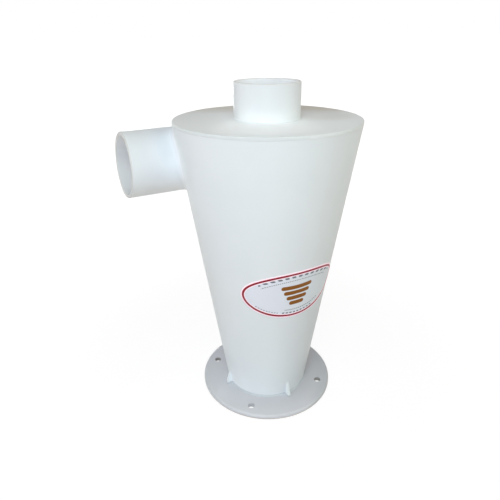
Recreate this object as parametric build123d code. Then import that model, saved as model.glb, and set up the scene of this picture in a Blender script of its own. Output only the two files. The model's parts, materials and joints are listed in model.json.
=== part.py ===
from build123d import *
import os
from math import atan, cos, pi, radians, sin, sqrt, tan

# A small dust cyclone in white polypropylene. Air with dust in it enters through a pipe that meets
# the cone on a tangent and spins down the wall. The dust drops through the foot into a bin, and the
# clean air leaves by the tube in the middle of the lid. Millimetres, +Z up. The origin is the centre
# of the flange's underside, the inlet's axis runs along X and its mouth faces -X.

# Cone
BODY_TOP_D = 141.0
BODY_FOOT_D = 66.5
BODY_HEIGHT = 222.0
BODY_WALL = 3.0
FOOT_COVE_RADIUS = 1.0

# Lid
LID_OVERHANG = 0.1
LID_THICKNESS = 2.5
LID_EDGE_RADIUS = 0.5
LID_SEAM_CHAMFER = 0.1
LOCATING_RING_DEPTH = 4.0
LOCATING_RING_WALL = 2.5
LOCATING_RING_GAP = 0.1

# Outlet, a spigot on the lid and the tube that carries its bore down into the cone
OUTLET_D = 50.0
OUTLET_WALL = 2.5
OUTLET_ABOVE_LID = 27.0
OUTLET_COVE_RADIUS = 1.0
FINDER_BELOW_INLET = 16.0

# Inlet pipe, straight where it stands out past the cone and with a mould's draft from there on
INLET_D = 50.0
INLET_WALL = 2.5
INLET_STRAIGHT = 30.0
INLET_DRAFT = 0.25
INLET_BELOW_RIM = 5.0
INLET_SET_IN = 0.3
INLET_COVE_RADIUS = 3.5

# Flange at the foot
FLANGE_D = 109.0
FLANGE_THICKNESS = 3.5
FLANGE_TOP_ROUND = 1.5
FLANGE_BOTTOM_CHAMFER = 0.5
BOLT_CIRCLE_D = 91.0
BOLT_HOLE_D = 5.5
BOLT_COUNT = 4
BOLT_ANGLE = 45.0

# Gussets between cone and flange
GUSSET_REACH = 5.2
GUSSET_HEIGHT = 12.5
GUSSET_THICKNESS = 2.2
GUSSET_TOE = 0.8
GUSSET_NAMES = ("gusset_right", "gusset_back", "gusset_left", "gusset_front")

# Rims of the open tubes
RIM_CHAMFER = 0.5

# Edges nearer to a surface than this lie on it
TOUCHING = 0.001

# Oval sticker, with its sizes as it was cut flat, wrapped round the cone
STICKER_WIDTH = 84.0
STICKER_HEIGHT = 40.5
STICKER_THICKNESS = 0.2
STICKER_GLUE = 0.1
STICKER_MIDDLE_HEIGHT = 106.5
STICKER_ANGLE = -94.0
STICKER_TILT = 2.7
STICKER_POINTS = 60

# Worked-out sizes
FOOT_Z = FLANGE_THICKNESS
RIM_Z = FOOT_Z + BODY_HEIGHT
LID_TOP_Z = RIM_Z + LID_THICKNESS
TAPER = (BODY_TOP_D - BODY_FOOT_D) / 2 / BODY_HEIGHT
OUTLET_BORE = OUTLET_D / 2 - OUTLET_WALL
INLET_Z = RIM_Z - INLET_BELOW_RIM - INLET_D / 2
INLET_REACH = BODY_TOP_D / 2 + INLET_STRAIGHT
INLET_FLARE = BODY_TOP_D / 2 * tan(radians(INLET_DRAFT))
FINDER_BOTTOM_Z = INLET_Z - INLET_D / 2 - FINDER_BELOW_INLET


def body_radius(z):
    """Outside radius of the cone at a height."""
    return BODY_FOOT_D / 2 + TAPER * (z - FOOT_Z)


# The pipe's far side just stays inside the leaning wall, where it is widest
INLET_Y = body_radius(INLET_Z) - INLET_SET_IN - (INLET_D / 2 + INLET_FLARE) * sqrt(1 + TAPER**2)


def ring_of(*points):
    """A closed outline in the XZ half-plane, turned about Z."""
    return revolve(Plane.XZ * make_face(Polyline(*points, close=True)), Axis.Z)


def disc(radius, bottom, top):
    """An upright cylinder on the cyclone's axis."""
    return Pos(0, 0, (bottom + top) / 2) * Cylinder(radius, top - bottom)


def lies_on(edge, shape):
    """Whether an edge runs along a shape's surface or inside it."""
    return all(shape.distance_to(Vertex(edge @ place)) < TOUCHING for place in (0.3, 0.7))


def standing_on(wall, floor, cove_radius):
    """The wall with a cove all round where it meets the floor, and cut off at the floor."""
    both = wall + floor
    seam = [edge for edge in both.edges() if lies_on(edge, wall) and lies_on(edge, floor)]
    return fillet(seam, cove_radius) - floor


def solid_cone(grow=0.0):
    """The cone's outside as a solid, grown outwards by a skin's thickness."""
    top = BODY_TOP_D / 2 + grow
    foot = BODY_FOOT_D / 2 + grow
    return ring_of((0, FOOT_Z), (foot, FOOT_Z), (top, RIM_Z), (0, RIM_Z))


def solid_body():
    """The cone's outside with the cove round its foot."""
    return standing_on(solid_cone(), disc(FLANGE_D / 2, 0, FOOT_Z), FOOT_COVE_RADIUS)


def inlet_rod(radius, flare):
    """A rod from the inlet's mouth to a place beside the axis, straight and then flaring."""
    outline = Polyline(
        (-INLET_REACH, 0),
        (-INLET_REACH, radius),
        (-BODY_TOP_D / 2, radius),
        (0, radius + flare),
        (0, 0),
        close=True,
    )
    return Pos(0, INLET_Y, INLET_Z) * revolve(make_face(outline), Axis.X)


def inlet_bore():
    """The space in the inlet, which narrows where the pipe's outside flares."""
    return inlet_rod(INLET_D / 2 - INLET_WALL, -INLET_FLARE)


def rim(shape, end, axis=Axis.Z):
    """The round edges at the first or last end of a shape along an axis."""
    return shape.edges().filter_by(GeomType.CIRCLE).group_by(axis)[end]


def make_cone_shell():
    """The tapered wall, open at both ends, with the inlet's bore cut through it."""
    foot = BODY_FOOT_D / 2 - BODY_WALL
    top = BODY_TOP_D / 2 - BODY_WALL
    inside = ring_of((0, FOOT_Z), (foot, FOOT_Z), (top, RIM_Z), (0, RIM_Z))
    return solid_body() - inside - inlet_bore()


def make_inlet_pipe():
    """The inlet pipe, with a cove where it meets the cone and chamfers at its mouth."""
    pipe = standing_on(inlet_rod(INLET_D / 2, INLET_FLARE), solid_cone(), INLET_COVE_RADIUS)
    pipe -= inlet_bore()
    return chamfer(rim(pipe, 0, Axis.X), RIM_CHAMFER)


def make_lid():
    """The lid, a disc with a rounded edge above and a chamfer at the seam below."""
    lid = disc(BODY_TOP_D / 2 + LID_OVERHANG, RIM_Z, LID_TOP_Z)
    lid = fillet(rim(lid, -1), LID_EDGE_RADIUS)
    lid = chamfer(rim(lid, 0), LID_SEAM_CHAMFER)
    return lid - disc(OUTLET_BORE, RIM_Z, LID_TOP_Z)


def make_locating_ring():
    """The ring under the lid that centres it in the cone's rim, with the same taper."""
    bottom = RIM_Z - LOCATING_RING_DEPTH
    inset = BODY_WALL + LOCATING_RING_GAP
    return ring_of(
        (body_radius(bottom) - inset - LOCATING_RING_WALL, bottom),
        (body_radius(bottom) - inset, bottom),
        (body_radius(RIM_Z) - inset, RIM_Z),
        (body_radius(RIM_Z) - inset - LOCATING_RING_WALL, RIM_Z),
    )


def make_outlet_spigot():
    """The short tube on the lid that the suction hose goes over."""
    top = LID_TOP_Z + OUTLET_ABOVE_LID
    lid = disc(BODY_TOP_D / 2, RIM_Z, LID_TOP_Z)
    spigot = standing_on(disc(OUTLET_D / 2, LID_TOP_Z, top), lid, OUTLET_COVE_RADIUS)
    spigot -= disc(OUTLET_BORE, LID_TOP_Z, top)
    return chamfer(rim(spigot, -1), RIM_CHAMFER)


def make_vortex_finder():
    """The tube under the lid that the clean air leaves by."""
    finder = disc(OUTLET_D / 2, FINDER_BOTTOM_Z, RIM_Z) - disc(OUTLET_BORE, FINDER_BOTTOM_Z, RIM_Z)
    return chamfer(rim(finder, 0), RIM_CHAMFER)


def make_flange():
    """The foot's flange with its dust hole and bolt holes."""
    plate = disc(FLANGE_D / 2, 0, FLANGE_THICKNESS)
    plate = fillet(rim(plate, -1), FLANGE_TOP_ROUND)
    plate = chamfer(rim(plate, 0), FLANGE_BOTTOM_CHAMFER)
    bolt_hole = disc(BOLT_HOLE_D / 2, 0, FLANGE_THICKNESS)
    circle = PolarLocations(BOLT_CIRCLE_D / 2, BOLT_COUNT, start_angle=BOLT_ANGLE)
    dust_hole = disc(BODY_FOOT_D / 2 - BODY_WALL, 0, FLANGE_THICKNESS)
    return plate - dust_hole - [place * bolt_hole for place in circle]


def make_gusset(angle, body):
    """A triangular rib that stands on the flange and is trimmed to the cone and its cove."""
    toe = BODY_FOOT_D / 2 + GUSSET_REACH
    top_z = FOOT_Z + GUSSET_HEIGHT
    inside = BODY_FOOT_D / 2 - BODY_WALL / 2
    outline = Polyline(
        (inside, FOOT_Z),
        (toe, FOOT_Z),
        (toe, FOOT_Z + GUSSET_TOE),
        (body_radius(top_z), top_z),
        (inside, top_z),
        close=True,
    )
    plate = extrude(Plane.XZ * make_face(outline), GUSSET_THICKNESS / 2, both=True)
    return Rot(0, 0, angle) * (plate - body)


def on_cone(across, up):
    """A point of the sticker's flat sheet, laid on the cone's outside."""
    lean = atan(TAPER)
    middle_radius = body_radius(STICKER_MIDDLE_HEIGHT)
    slant = middle_radius / sin(lean)
    turn = radians(STICKER_TILT)
    side = across * cos(turn) - up * sin(turn)
    rise = across * sin(turn) + up * cos(turn)
    distance = sqrt(side**2 + (slant + rise) ** 2)
    round_cone = atan(side / (slant + rise)) / sin(lean)
    radius = distance * sin(lean)
    return radius * sin(round_cone), STICKER_MIDDLE_HEIGHT + (distance - slant) * cos(lean)


def make_sticker():
    """The oval sticker as a thin skin on the cone."""
    turns = [2 * pi * n / STICKER_POINTS for n in range(STICKER_POINTS)]
    edge = [on_cone(STICKER_WIDTH / 2 * cos(t), STICKER_HEIGHT / 2 * sin(t)) for t in turns]
    outline = make_face(Spline(*edge, periodic=True))
    prism = extrude(Plane.XZ * outline, BODY_TOP_D / 2)
    skin = solid_cone(STICKER_GLUE + STICKER_THICKNESS) - solid_cone(STICKER_GLUE)
    return Rot(0, 0, STICKER_ANGLE + 90) * (prism & skin)


def main():
    os.makedirs("parts", exist_ok=True)
    body = solid_body()
    pieces = {
        "cone_shell": make_cone_shell(),
        "inlet_pipe": make_inlet_pipe(),
        "top_lid": make_lid(),
        "lid_locating_ring": make_locating_ring(),
        "outlet_spigot": make_outlet_spigot(),
        "vortex_finder": make_vortex_finder(),
        "base_flange": make_flange(),
        "sticker": make_sticker(),
    }
    for number, name in enumerate(GUSSET_NAMES):
        pieces[name] = make_gusset(number * 360 / len(GUSSET_NAMES), body)
    for name, piece in pieces.items():
        export_step(piece, f"parts/{name}.step")
        print(name, round(piece.volume), "mm3")


main()
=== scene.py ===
import json
from math import atan, cos, pi, radians, sin

import bpy
import numpy as np
from mathutils import Matrix, Vector

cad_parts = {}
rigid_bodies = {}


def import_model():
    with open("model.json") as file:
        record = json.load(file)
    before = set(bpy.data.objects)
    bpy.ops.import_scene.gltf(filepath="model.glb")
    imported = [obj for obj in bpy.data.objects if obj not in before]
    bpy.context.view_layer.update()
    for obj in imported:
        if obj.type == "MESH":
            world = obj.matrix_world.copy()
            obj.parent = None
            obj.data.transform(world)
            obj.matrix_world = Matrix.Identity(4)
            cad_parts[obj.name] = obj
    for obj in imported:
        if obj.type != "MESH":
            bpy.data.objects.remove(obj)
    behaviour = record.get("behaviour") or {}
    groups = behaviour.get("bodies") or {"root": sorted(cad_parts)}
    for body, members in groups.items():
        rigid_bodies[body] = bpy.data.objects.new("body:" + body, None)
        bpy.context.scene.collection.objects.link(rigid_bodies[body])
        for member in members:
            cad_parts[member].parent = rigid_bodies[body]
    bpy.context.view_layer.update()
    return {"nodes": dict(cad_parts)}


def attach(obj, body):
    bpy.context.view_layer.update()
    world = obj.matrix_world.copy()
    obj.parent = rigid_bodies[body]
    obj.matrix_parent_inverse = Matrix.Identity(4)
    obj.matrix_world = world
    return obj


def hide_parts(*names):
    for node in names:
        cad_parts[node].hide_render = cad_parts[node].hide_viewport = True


# A small dust cyclone in milky white plastic, seen from its front left and from above. The solids
# come from the frame and get their finish here. The sticker is a piece of this script, because
# its print follows its own flat sheet. Metres, +Z up, with the origin under the flange's middle.

# Camera, at the front left, with the lens and the turns of a hand-held shot. Its picture is a
# crop, and MIDDLE_X and MIDDLE_Y are the pixels from its left and top to the lens's own middle.
CAMERA_AROUND = radians(-30.12)
CAMERA_DISTANCE = 0.351
CAMERA_HEIGHT = 0.28734
CAMERA_DOWN = radians(17.69)
CAMERA_ASIDE = radians(-2.92)
CAMERA_ROLL = radians(-0.66)
CAMERA_NEAREST = 0.01
FOCAL_PIXELS = 472.11
MIDDLE_X = 243.8
MIDDLE_Y = 185.0
FRAME_PIXELS = 500
SENSOR_WIDTH = 36.0

# Level directions in which the tones of the plastic change: to the camera's right, away from it,
# and out to the lid's far right and near left
ASIDE = (0.87, -0.5)
BEHIND = (0.5, 0.866)
FAR_RIGHT = (0.95, 0.3)
NEAR_LEFT = (-0.77, -0.64)

# Cone, as its tones and the sticker on it need it
FOOT_Z = 0.0035
FOOT_RADIUS = 0.03325
RIM_Z = 0.2255
RIM_RADIUS = 0.0705
TAPER = (RIM_RADIUS - FOOT_RADIUS) / (RIM_Z - FOOT_Z)
LEAN = atan(TAPER)

# Pipes, as their tones need them. The outlet stands on the axis, and the inlet lies along X, with
# its mouth MOUTH_OUT to the left of the axis. A pipe's rim gets its own tone from RIM_STARTS
# before its end, and wholly so from RIM_FULL before it.
PIPE_BORE = 0.0225
BORE_EDGE = 0.0006
MOUTH_OUT = 0.1005
OUTLET_TOP = 0.255
INLET_Y = 0.0395
INLET_Z = 0.1955
RIM_STARTS = 0.0009
RIM_FULL = 0.0004

# Light inside the outlet: least OUTLET_DIM aside of the axis, and OUTLET_GAIN a metre from there
OUTLET_DIM = 0.006
OUTLET_GAIN = 35

# Lid: the middles of a patch of painted shadow beside the outlet and of a bright one in front of
# it
PAINTED_SHADOW_MIDDLE = (0.042, -0.012)
LIT_PATCH = (-0.019, -0.033)

# Bolt holes, each as far from both axes of the flange
HOLE_OUT = 0.0322

# Milky plastic: the size and the strength of its clouds, and the size and the depth of the waves
# and of the grain on its skin
CLOUD_SIZE = 0.045
CLOUD_SHARE = 0.5
WAVE_SIZE = 0.018
WAVE_DEPTH = 0.0002
GRAIN_SIZE = 0.0012
GRAIN_DEPTH = 0.00001
ROUGHNESS = 0.4
ROUGHNESS_SPREAD = 0.08
SHEEN_LEVEL = 0.25

# Oval sticker, as it was cut flat, and the mesh of each of its two faces. The rings crowd toward
# the edge, where the print is finest, by a power of their even steps.
STICKER_HALF_WIDTH = 0.042
STICKER_HALF_HEIGHT = 0.02025
STICKER_THICKNESS = 0.0002
STICKER_GLUE = 0.0001
STICKER_MIDDLE_Z = 0.1065
STICKER_AROUND = radians(-94.0)
STICKER_TILT = radians(2.7)
STICKER_POINTS = 240
STICKER_RINGS = 39
RING_POWER = 0.6

# Its print: a red line round a pale field, a funnel of golden bars and rows of plain dashes along
# the edge. Each row has its side, its distance from the edge, its dashes' step, half length and
# half width, and where it starts and ends across the sheet.
PRINT_BLUR = 0.0001
BORDER_MARGIN = 0.0009
BORDER_WIDTH = 0.0016
INNER_WHITE = 0.0006
FUNNEL_TOP = 0.007
FUNNEL_STEP = 0.0047
FUNNEL_HALF_WIDTHS = (0.0107, 0.0086, 0.0064, 0.0042)
FUNNEL_BAR = 0.0034
DASH_ROWS = (
    (1, 0.0041, 0.0064, 0.0011, 0.0008, -0.029, 0.033),
    (1, 0.0072, 0.0021, 0.0004, 0.0003, -0.027, 0.027),
    (-1, 0.0041, 0.0036, 0.0006, 0.0006, -0.011, 0.015),
    (-1, 0.0068, 0.0024, 0.0004, 0.0004, -0.009, 0.02),
    (-1, 0.0041, 0.0024, 0.0004, 0.0003, -0.031, -0.014),
)
PALE_LEFT = (237, 238, 246)
PALE_RIGHT = (229, 233, 238)
GREY_INK = (122, 124, 130)
GOLDEN_INK = (140, 82, 0)
RED_INK = (146, 4, 36)
PINKISH_WHITE = (252, 232, 238)
PINKISH_LIGHT = (0.26, 0.14, 0.17)

# Floor, which the camera sees nearly white round the foot and wholly white further out
FLOOR_RADIUS = 40.0
FLOOR_CORNERS = 96
FLOOR_DOWN = 0.0002
FLOOR_GREY = (205, 205, 205)
FLOOR_WHITENESS = 0.82
FLOOR_GLOW = 1.12
FLOOR_NEAR = 0.1
FLOOR_FAR = 0.5

# Room, warm and dim, with soft lamps in front, above, at both sides and behind
ROOM_LIGHT = (0.16, 0.12, 0.12, 1.0)
WHITE_PAGE = (1.0, 1.0, 1.0, 1.0)
LAMP_SIZE = 0.4
LAMP_AIM = (0.0, 0.0, 0.15)
LAMPS = {
    "high": {"place": (-0.25, -0.45, 0.85), "power": 2.07, "colour": (0.83, 1.0, 0.92)},
    "near": {"place": (-0.42, -0.50, 0.46), "power": 2.3, "colour": (0.82, 0.88, 1.0)},
    "left": {"place": (-0.80, -0.05, 0.35), "power": 1.41, "colour": (0.96, 1.0, 0.92)},
    "right": {"place": (0.50, -0.65, 0.40), "power": 1.72, "colour": (0.95, 1.0, 0.83)},
    "behind": {"place": (0.3, 0.9, 0.06), "power": 4.5, "colour": (0.9, 0.97, 1.0)},
}


class Wire:
    """A shader socket with plain arithmetic on it. Each operator adds one Math node."""

    def __init__(self, tree, socket):
        self.tree = tree
        self.socket = socket

    def maths(self, operation, *values):
        values = (self, *values)
        return self.tree.node("ShaderNodeMath", {"operation": operation}, dict(enumerate(values)))

    def __add__(self, other):
        return self.maths("ADD", other)

    def __sub__(self, other):
        return self.maths("SUBTRACT", other)

    def __neg__(self):
        return self * -1.0

    def __rsub__(self, other):
        return -self + other

    def __mul__(self, other):
        return self.maths("MULTIPLY", other)

    def __truediv__(self, other):
        return self.maths("DIVIDE", other)

    def __pow__(self, other):
        return self.maths("POWER", other)

    def __abs__(self):
        return self.maths("ABSOLUTE")

    __radd__ = __add__
    __rmul__ = __mul__

    def hypot(self, other):
        """The length of the slant over two sides."""
        return (self * self + other * other) ** 0.5

    def step(self, low, high, before, after):
        """One value up to low, another from high on, and a smooth step between."""
        values = {0: self, 1: low, 2: high, 3: before, 4: after}
        return self.tree.node("ShaderNodeMapRange", {"interpolation_type": "SMOOTHSTEP"}, values)

    def over(self, low, high):
        """0 up to low and 1 from high on."""
        return self.step(low, high, 0.0, 1.0)

    def under(self, low, high):
        """1 up to low and 0 from high on."""
        return self.step(low, high, 1.0, 0.0)


class Tree:
    """The nodes of a material or of the world while they are put together."""

    def __init__(self, tree):
        self.tree = tree

    def node(self, kind, settings=None, values=None, output=0):
        """One node: its type, its settings first, then the values or wires of its sockets."""
        made = self.tree.nodes.new(kind)
        for name, setting in (settings or {}).items():
            setattr(made, name, setting)
        for socket, value in (values or {}).items():
            self.join(value, made.inputs[socket])
        return Wire(self, made.outputs[output])

    def join(self, value, socket):
        if isinstance(value, Wire):
            self.tree.links.new(value.socket, socket)
        else:
            socket.default_value = value

    def blend(self, one, other, share):
        """A colour between two others."""
        settings = {"data_type": "RGBA"}
        return self.node("ShaderNodeMix", settings, {0: share, 6: one, 7: other}, output=2)


class Finish(Tree):
    """A material of the part, with the shader that its nodes feed."""

    def __init__(self, name, **constants):
        self.material = bpy.data.materials.new(name)
        self.material.use_nodes = True
        super().__init__(self.material.node_tree)
        self.shader = self.tree.nodes["Principled BSDF"]
        for socket, value in constants.items():
            self.shader.inputs[socket.replace("_", " ")].default_value = value

    def feed(self, socket, value):
        self.join(value, self.shader.inputs[socket])

    def place(self):
        """The place on the piece, in metres in the part's frame."""
        return self.node("ShaderNodeTexCoord", output="Object")

    def axis(self, name):
        return self.node("ShaderNodeSeparateXYZ", values={0: self.place()}, output=name)

    def noise(self, size, detail=2.0):
        """Noise from 0 to 1 whose blots are about size metres wide."""
        values = {"Vector": self.place(), "Scale": 1 / size, "Detail": detail}
        return self.node("ShaderNodeTexNoise", values=values)

    def tint(self, colour, *tones):
        """A colour with tones over it: pairs of where one shows, from 0 to 1, and its colour."""
        for share, tone in tones:
            colour = self.blend(colour, linear(*tone), share)
        return colour

    def glow(self, *lights):
        """Light that the lamps don't give: pairs of where it shows, 0 to 1, and its colour."""
        colour = (0.0, 0.0, 0.0, 1.0)
        for share, light in lights:
            colour = self.blend(colour, (*light, 1.0), share)
        self.feed("Emission Color", colour)
        self.feed("Emission Strength", 1.0)

    def relief(self, *layers):
        """Bump from layers of a height from 0 to 1 and its depth in metres."""
        normal = None
        for height, depth in layers:
            values = {"Strength": 1.0, "Distance": depth, "Height": height}
            if normal is not None:
                values["Normal"] = normal
            normal = self.node("ShaderNodeBump", values=values)
        self.feed("Normal", normal)


def linear(red, green, blue):
    """A colour as a screen shows it, 0 to 255, as the light that a shader takes."""
    share = np.array([red, green, blue]) / 255
    return (*np.where(share <= 0.04045, share / 12.92, ((share + 0.055) / 1.055) ** 2.4), 1.0)


def reach(x, y, direction):
    """How far a place lies in a level direction: x and y, each times the direction's, added."""
    return x * direction[0] + y * direction[1]


def apart(x, y, spot):
    """How far a place is from a spot, seen from above."""
    return (x - spot[0]).hypot(y - spot[1])


def milky_plastic(name, plain, cloudy):
    """Polypropylene: light goes in a little way, the white is slightly cloudy, the skin satin."""
    finish = Finish(
        name,
        Subsurface_Weight=0.15,
        Subsurface_Radius=(1.0, 1.05, 1.1),
        Subsurface_Scale=0.004,
        Specular_IOR_Level=SHEEN_LEVEL,
        IOR=1.49,
    )
    grain = finish.noise(GRAIN_SIZE)
    finish.feed("Roughness", ROUGHNESS + ROUGHNESS_SPREAD * (grain - 0.5))
    finish.relief((finish.noise(WAVE_SIZE), WAVE_DEPTH), (grain, GRAIN_DEPTH))
    clouds = finish.noise(CLOUD_SIZE, detail=3.0).over(0.3, 0.7)
    return finish, finish.blend(linear(*plain), linear(*cloudy), clouds * CLOUD_SHARE)


class Whereabouts:
    """Where a point of the white plastic lies, for its tones and lights.

    Distances are in metres. What says in or under a pipe is a share from 0 to 1.
    """

    def __init__(self, finish):
        x, y, self.z = (finish.axis(name) for name in "XYZ")
        self.aside = reach(x, y, ASIDE)
        self.to_mouth = -x
        self.above_inlet = self.z - INLET_Z
        self.from_inlet = (y - INLET_Y).hypot(self.above_inlet)
        self.off_cone = x.hypot(y) - FOOT_RADIUS - (self.z - FOOT_Z) * TAPER
        self.in_outlet = x.hypot(y).under(PIPE_BORE, PIPE_BORE + BORE_EDGE)
        in_bore = self.from_inlet.under(PIPE_BORE, PIPE_BORE + BORE_EDGE)
        self.in_inlet = in_bore * self.to_mouth.over(0.005, 0.02)
        on_inlet = self.from_inlet.under(0.0255, 0.029) * (1 - self.in_inlet)
        lower_side = self.above_inlet.under(-0.022, -0.002)
        self.under_inlet = on_inlet * lower_side * self.to_mouth.over(0.04, 0.06)


def white_tones(at):
    """The tones of the cone and its pipes, each over those before it: pairs for tint.

    The two numbers of a step are where it begins and ends, in metres.
    """
    # Painted light from the flange: the foot bluer and lighter.
    foot_painted_light = at.z.under(0.0, 0.1) * 0.8
    shaded_side = at.aside.over(0.0, 0.045) * at.z.under(0.06, 0.16)
    # Painted shade: the outlet greyer above its root.
    outlet_painted_shade = at.z.over(0.232, 0.25)
    outlet_front = at.z.over(0.229, 0.24) * abs(at.aside).under(0.004, 0.022) * (1 - at.in_outlet)
    inlet = at.off_cone.over(0.0002, 0.002) * at.z.over(0.05, 0.1) * at.z.under(0.222, 0.226)
    inlet = inlet * (1 - at.in_inlet)
    # Painted highlight: bluish where the inlet meets the cone.
    inlet_painted_highlight = inlet * at.off_cone.under(0.004, 0.034) * at.above_inlet.over(-0.02, 0.004)
    # Painted shade: greyer on the inlet's top beside the cone.
    inlet_top_painted_shade = inlet * at.off_cone.under(0.007, 0.018) * at.above_inlet.over(0.002, 0.012)
    # Painted shade in the cove where the inlet meets the cone.
    inlet_cove_painted_shade = inlet * at.off_cone.under(0.0015, 0.007) * 0.3
    # Painted shade in the cove between the cone and the flange.
    foot_cove_painted_shade = at.z.under(0.0042, 0.0056)
    # Painted shade low inside the inlet's bore.
    inlet_floor_painted_shade = at.in_inlet * at.above_inlet.under(-0.002, 0.012)
    mouth_rim = at.to_mouth.over(MOUTH_OUT - RIM_STARTS, MOUTH_OUT - RIM_FULL)
    outlet_rim = at.z.over(OUTLET_TOP - RIM_STARTS, OUTLET_TOP - RIM_FULL)
    return (
        (foot_painted_light, (238, 246, 251)),
        (shaded_side, (221, 225, 228)),
        (outlet_painted_shade, (235, 237, 239)),
        (outlet_front, (227, 230, 232)),
        # Painted light: lighter and warmer under the inlet.
        (at.under_inlet, (253, 252, 247)),
        (inlet_painted_highlight, (237, 243, 248)),
        (inlet_top_painted_shade, (226, 232, 238)),
        (inlet_cove_painted_shade, (222, 226, 231)),
        (foot_cove_painted_shade, (206, 212, 217)),
        (inlet_floor_painted_shade, (227, 229, 230)),
        (mouth_rim, (216, 215, 213)),
        (outlet_rim, (229, 229, 227)),
    )


def white_lights(at):
    """Light through the thin walls of the pipes, and from piece to piece: pairs for glow."""
    foot = at.z.over(0.0045, 0.0055) * at.z.under(0.006, 0.035) * at.aside.under(-0.03, 0.015)
    low = at.under_inlet * at.above_inlet.over(-0.025, -0.019) * at.off_cone.under(0.01, 0.04)
    beside_inlet = at.off_cone.under(0.0004, 0.0012) * at.from_inlet.under(0.027, 0.045)
    beside_inlet = beside_inlet * at.to_mouth.over(0.02, 0.05) * at.above_inlet.over(-0.024, -0.01)
    inside_outlet = at.in_outlet * abs(at.aside - OUTLET_DIM) * OUTLET_GAIN
    inside_inlet = at.in_inlet * at.above_inlet.over(0.003, 0.02)
    return (
        (foot, (0.045, 0.045, 0.045)),
        (low, (0.025, 0.025, 0.025)),
        (beside_inlet, (0.08, 0.08, 0.083)),
        (inside_outlet, (0.15, 0.15, 0.155)),
        (inside_inlet, (0.14, 0.125, 0.115)),
    )


def white_plastic():
    """For the cone and its pipes, whose white carries painted light and shade.

    Bluer and lighter at the foot, painted light from the flange; greyer low on the side away from
    the inlet and up the outlet, painted shade; bluish where the inlet meets the cone, a painted
    highlight, then greyer on its top and in its cove, painted shade; lighter and warmer under it,
    painted light;
    darker in the foot's cove and low in the inlet's bore, painted shade; and grubby on the rims of
    the pipes.
    """
    finish, colour = milky_plastic("white_plastic_finish", (238, 241, 242), (233, 237, 239))
    at = Whereabouts(finish)
    finish.feed("Base Color", finish.tint(colour, *white_tones(at)))
    finish.glow(*white_lights(at))
    return finish.material


def lid_plastic():
    """For the lid, which is a little greyer on the inlet's side and has a painted shadow beside
    the outlet.

    Painted shade makes it tan at the back and darker round the edge, most at the near left, and it
    is bright in front of the outlet, which throws its light there.
    """
    finish, colour = milky_plastic("lid_plastic_finish", (242, 244, 244), (236, 240, 240))
    x, y = finish.axis("X"), finish.axis("Y")
    inlet_side = reach(x, y, ASIDE).under(-0.055, -0.015)
    # Painted shadow of the outlet beside it.
    outlet_painted_shadow = apart(x, y, PAINTED_SHADOW_MIDDLE).under(0.01, 0.033)
    # Painted shade: tan toward the back, more so at the back right.
    back = reach(x, y, BEHIND).over(0.015, 0.05)
    back_right_painted_shade = reach(x, y, FAR_RIGHT).over(0.035, 0.066) * y.over(-0.01, 0.02)
    edge = x.hypot(y).over(0.0694, 0.0702)
    colour = finish.tint(
        colour,
        (inlet_side, (231, 233, 232)),
        (outlet_painted_shadow, (227, 227, 225)),
        (back, (208, 202, 192)),
        (back_right_painted_shade, (203, 195, 182)),
    )
    # Painted shade round the edge, darker at the near left.
    near_left_painted_shade = reach(x, y, NEAR_LEFT).over(0.045, 0.068)
    edge_painted_shade = finish.tint(linear(234, 237, 236), (near_left_painted_shade, (224, 227, 227)))
    finish.feed("Base Color", finish.blend(colour, edge_painted_shade, edge))
    lit = apart(x, y, LIT_PATCH).under(0.012, 0.045) * (1 - edge)
    finish.glow((lit, (0.14, 0.14, 0.145)))
    return finish.material


def flange_plastic():
    """For the flange, with painted shade near the cone, so that it is paler toward its edge,
    painted shade on its right side and painted light on its left.

    Its lower edge is darker and brownish with painted shade, and the walls of its left and right
    bolt holes as the camera sees them, which lie where x and y differ in sign, are darker with
    painted shade.
    """
    finish, colour = milky_plastic("flange_plastic_finish", (206, 206, 211), (200, 201, 206))
    x, y, z = (finish.axis(name) for name in "XYZ")
    aside = reach(x, y, ASIDE)
    from_axis = x.hypot(y)
    in_hole = (abs(x) - HOLE_OUT).hypot(abs(y) - HOLE_OUT).under(0.0028, 0.0029)
    # Painted shade on the walls of the left and right bolt holes.
    hole_wall_painted_shade = in_hole * z.under(0.0031, 0.0034) * (-x * y).over(0.0, 0.0002)
    # Painted shade, brownish, along the lower edge.
    lower_edge_painted_shade = z.under(0.0006, 0.0012) * from_axis.over(0.053, 0.0535)
    colour = finish.tint(
        colour,
        # Painted shade near the cone, painted shade on the right and painted light on the left.
        (from_axis.over(0.036, 0.054), (218, 218, 223)),
        (aside.over(0.03, 0.05), (199, 201, 206)),
        (aside.under(-0.058, -0.001), (211, 213, 218)),
        (hole_wall_painted_shade, (170, 168, 164)),
        (lower_edge_painted_shade, (178, 160, 146)),
    )
    finish.feed("Base Color", colour)
    return finish.material


def oval(count):
    """Points round the flat sticker: half the width times the cosine of an even turn, and half
    the height times its sine."""
    turn = np.linspace(0, 2 * pi, count, endpoint=False)
    half_sizes = np.array([STICKER_HALF_WIDTH, STICKER_HALF_HEIGHT])
    return half_sizes * np.stack([np.cos(turn), np.sin(turn)], axis=-1)


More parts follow.
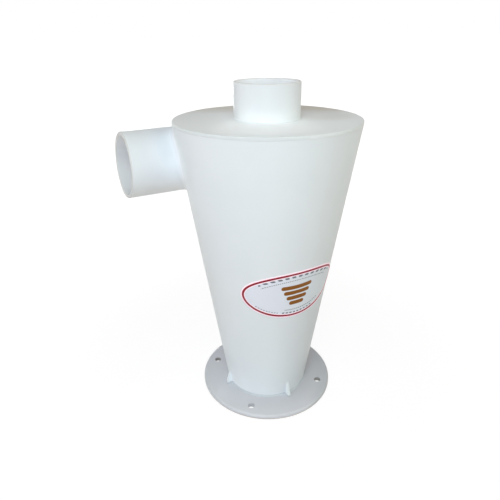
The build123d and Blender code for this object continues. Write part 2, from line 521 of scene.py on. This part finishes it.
def on_cone(across, up, lift):
    """The sticker's flat sheet rolled round the cone.

    A point of the sheet keeps its distance from the cone's tip, and its angle there is divided by
    the sine of the lean, because the flat sheet of a cone is a fan. lift stands off the surface.
    """
    middle_radius = FOOT_RADIUS + TAPER * (STICKER_MIDDLE_Z - FOOT_Z)
    slant = middle_radius / sin(LEAN)
    side = across * cos(STICKER_TILT) - up * sin(STICKER_TILT)
    rise = across * sin(STICKER_TILT) + up * cos(STICKER_TILT)
    distance = np.hypot(side, slant + rise)
    around = STICKER_AROUND + np.arctan2(side, slant + rise) / sin(LEAN)
    radius = distance * sin(LEAN) + lift * cos(LEAN)
    height = STICKER_MIDDLE_Z + (distance - slant) * cos(LEAN) - lift * sin(LEAN)
    return np.stack([radius * np.cos(around), radius * np.sin(around), height], axis=-1)


def grid_faces(rows, columns):
    """Four-cornered faces of a grid whose columns close on themselves."""
    row, column = np.meshgrid(np.arange(rows - 1), np.arange(columns), indexing="ij")
    beside = (column + 1) % columns
    corners = (row * columns + column, row * columns + beside)
    beyond = ((row + 1) * columns + beside, (row + 1) * columns + column)
    return np.stack([*corners, *beyond], axis=-1).reshape(-1, 4)


def piece(name, points, faces, material, readings):
    """An object of the part from its points and faces, with named numbers at each point."""
    mesh = bpy.data.meshes.new(name)
    mesh.from_pydata(points, [], faces)
    for label, values in readings.items():
        column = mesh.attributes.new(label, "FLOAT", "POINT")
        column.data.foreach_set("value", values.ravel().astype(np.float32))
    mesh.shade_smooth()
    mesh.materials.append(material)
    made = bpy.data.objects.new(name, mesh)
    bpy.context.scene.collection.objects.link(made)
    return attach(made, "root")


def sticker_print():
    """The print: pinkish margin, red line and a faint lavender field with a plain motif on it."""
    finish = Finish("sticker_print", Roughness=ROUGHNESS, Specular_IOR_Level=SHEEN_LEVEL)

    def reading(label):
        return finish.node("ShaderNodeAttribute", {"attribute_name": label}, output="Fac")

    def within(distance, limit):
        """1 where a distance is less than its limit."""
        return distance.under(limit - PRINT_BLUR, limit + PRINT_BLUR)

    def row_of_dashes(side, inwards, step, half, thick, starts, ends):
        """Dashes at even steps along the edge, on the upper or lower side of the sheet."""
        beside = abs(((along / step).maths("FRACT") - 0.5) * step)
        past_end = (beside - half).maths("MAXIMUM", 0.0)
        dash = within(past_end.hypot(edge - inwards), thick)
        in_row = within(abs(across - (starts + ends) / 2), (ends - starts) / 2)
        return dash * in_row * (up * side).maths("GREATER_THAN", 0.0)

    edge, across, up, along = (reading(label) for label in ("from_edge", "across", "up", "along"))
    bars = 0.0
    for number, half_width in enumerate(FUNNEL_HALF_WIDTHS):
        past_end = (abs(across) - half_width).maths("MAXIMUM", 0.0)
        beside = up - (FUNNEL_TOP - number * FUNNEL_STEP)
        bars = bars + within(past_end.hypot(beside), FUNNEL_BAR / 2)
    dashes = 0.0
    for row in DASH_ROWS:
        dashes = dashes + row_of_dashes(*row)
    white = within(edge, BORDER_MARGIN + BORDER_WIDTH + INNER_WHITE)
    red = within(edge, BORDER_MARGIN + BORDER_WIDTH)
    margin = within(edge, BORDER_MARGIN)
    colour = finish.tint(
        linear(*PALE_LEFT),
        (across.over(-0.02, 0.015), PALE_RIGHT),
        (dashes, GREY_INK),
        (bars, GOLDEN_INK),
        (white, PINKISH_WHITE),
        (red, RED_INK),
        (margin, PINKISH_WHITE),
    )
    finish.feed("Base Color", colour)
    # The pale line inside the red one and the margin glow a little: painted light.
    finish.glow((white, PINKISH_LIGHT), (red, (0.0, 0.0, 0.0)), (margin, PINKISH_LIGHT))
    return finish.material


def build_sticker():
    """The sticker as a closed skin: rings from its middle out to the edge, and back underneath.

    Each point knows its place on the flat sheet, how far it is from the edge and how far round the
    edge its ring point is.
    """
    outline = oval(STICKER_POINTS)
    share = np.linspace(0, 1, STICKER_RINGS + 1)[1:] ** RING_POWER
    rings = np.concatenate([share, share[::-1]])
    top = STICKER_GLUE + STICKER_THICKNESS
    lift = np.concatenate([np.full(len(share), top), np.full(len(share), STICKER_GLUE)])
    flat = rings[:, None, None] * outline[None]
    from_edge = np.linalg.norm(flat[:, :, None] - outline[None, None], axis=-1).min(-1)
    steps = np.linalg.norm(np.roll(outline, -1, axis=0) - outline, axis=-1)
    along = np.broadcast_to(np.cumsum(steps) - steps, from_edge.shape)
    points = on_cone(flat[..., 0], flat[..., 1], lift[:, None])
    rows, columns = from_edge.shape
    faces = grid_faces(rows, columns)[:, ::-1].tolist()
    faces += [list(range(columns)), list(range(rows * columns - 1, (rows - 1) * columns - 1, -1))]
    readings = {"from_edge": from_edge, "along": along, "across": flat[..., 0], "up": flat[..., 1]}
    made = piece("sticker_film", points.reshape(-1, 3), faces, sticker_print(), readings)
    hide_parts("sticker")


def set_finishes(nodes):
    """Each solid's finish, by the name of the slot that it came with. The sticker's stays."""
    finishes = {
        "white_plastic": white_plastic(),
        "lid_plastic": lid_plastic(),
        "flange_plastic": flange_plastic(),
    }
    for node in nodes.values():
        slot = node.material_slots[0]
        if slot.material.name in finishes:
            slot.material = finishes[slot.material.name]


def set_camera():
    """Stands back from the axis, then looks level at it, turns aside, tips down and rolls."""
    lens = bpy.data.cameras.new("camera")
    lens.sensor_width = SENSOR_WIDTH
    lens.lens = SENSOR_WIDTH * FOCAL_PIXELS / FRAME_PIXELS
    lens.shift_x = 0.5 - MIDDLE_X / FRAME_PIXELS
    lens.shift_y = MIDDLE_Y / FRAME_PIXELS - 0.5
    lens.clip_start = CAMERA_NEAREST
    camera = bpy.data.objects.new("camera", lens)
    bpy.context.scene.collection.objects.link(camera)
    stand = Vector((0, -CAMERA_DISTANCE, CAMERA_HEIGHT))
    turn = Matrix.Rotation(CAMERA_AROUND, 4, "Z") @ Matrix.Translation(stand)
    look = Matrix.Rotation(-CAMERA_ASIDE, 4, "Z") @ Matrix.Rotation(pi / 2 - CAMERA_DOWN, 4, "X")
    camera.matrix_world = turn @ look @ Matrix.Rotation(CAMERA_ROLL, 4, "Z")
    bpy.context.scene.camera = camera


def add_lamp(name, place, power, colour):
    """A square soft light that looks at the middle of the cyclone."""
    light = bpy.data.lights.new(name, "AREA")
    light.size = LAMP_SIZE
    light.energy = power
    light.color = colour
    lamp = bpy.data.objects.new(name, light)
    lamp.location = place
    aim = Vector(LAMP_AIM) - lamp.location
    lamp.rotation_euler = aim.to_track_quat("-Z", "Y").to_euler()
    bpy.context.scene.collection.objects.link(lamp)


def seen_as_page(tree):
    """1 for rays from the camera, or mirrored or let through, which see a white page instead."""
    share = 0.0
    for kind in ("Is Camera Ray", "Is Glossy Ray", "Is Transmission Ray"):
        share = tree.node("ShaderNodeLightPath", output=kind).maths("MAXIMUM", share)
    return share


def set_world():
    """A dim warm room, on a white page."""
    world = bpy.data.worlds.new("world")
    bpy.context.scene.world = world
    world.use_nodes = True
    room = Tree(world.node_tree)
    light = room.node("ShaderNodeBackground", values={"Color": ROOM_LIGHT, "Strength": 1.0})
    white = room.node("ShaderNodeBackground", values={"Color": WHITE_PAGE, "Strength": 1.0})
    page = room.node("ShaderNodeMixShader", values={0: seen_as_page(room), 1: light, 2: white})
    room.join(page, world.node_tree.nodes["World Output"].inputs["Surface"])


def floor_finish():
    """Grey, which the camera and mirrored rays see as the page with a faint shadow on it."""
    finish = Finish("floor_finish", Roughness=0.9, Specular_IOR_Level=0.0)
    finish.feed("Base Color", linear(*FLOOR_GREY))
    glow = finish.node("ShaderNodeEmission", values={"Color": WHITE_PAGE, "Strength": FLOOR_GLOW})
    shaded = Wire(finish, finish.shader.outputs[0])
    away = finish.axis("X").hypot(finish.axis("Y")).over(FLOOR_NEAR, FLOOR_FAR)
    white = seen_as_page(finish) * (FLOOR_WHITENESS + (1 - FLOOR_WHITENESS) * away)
    seen = finish.node("ShaderNodeMixShader", values={0: white, 1: shaded, 2: glow})
    finish.join(seen, finish.tree.nodes["Material Output"].inputs["Surface"])
    return finish.material


def add_floor():
    """A level disc just under the flange, with its corners at even turns round the axis."""
    turn = np.linspace(0, 2 * pi, FLOOR_CORNERS, endpoint=False)
    level = np.full_like(turn, -FLOOR_DOWN)
    rim = np.stack([FLOOR_RADIUS * np.cos(turn), FLOOR_RADIUS * np.sin(turn), level], axis=-1)
    mesh = bpy.data.meshes.new("floor")
    mesh.from_pydata(rim, [], [list(range(len(rim)))])
    mesh.materials.append(floor_finish())
    floor = bpy.data.objects.new("floor", mesh)
    bpy.context.scene.collection.objects.link(floor)


def main():
    for leftover in list(bpy.data.objects):
        bpy.data.objects.remove(leftover)
    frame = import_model()
    set_finishes(frame["nodes"])
    build_sticker()
    set_camera()
    set_world()
    add_floor()
    for name, lamp in LAMPS.items():
        add_lamp(name, **lamp)
    bpy.context.scene.view_settings.view_transform = "Standard"


main()
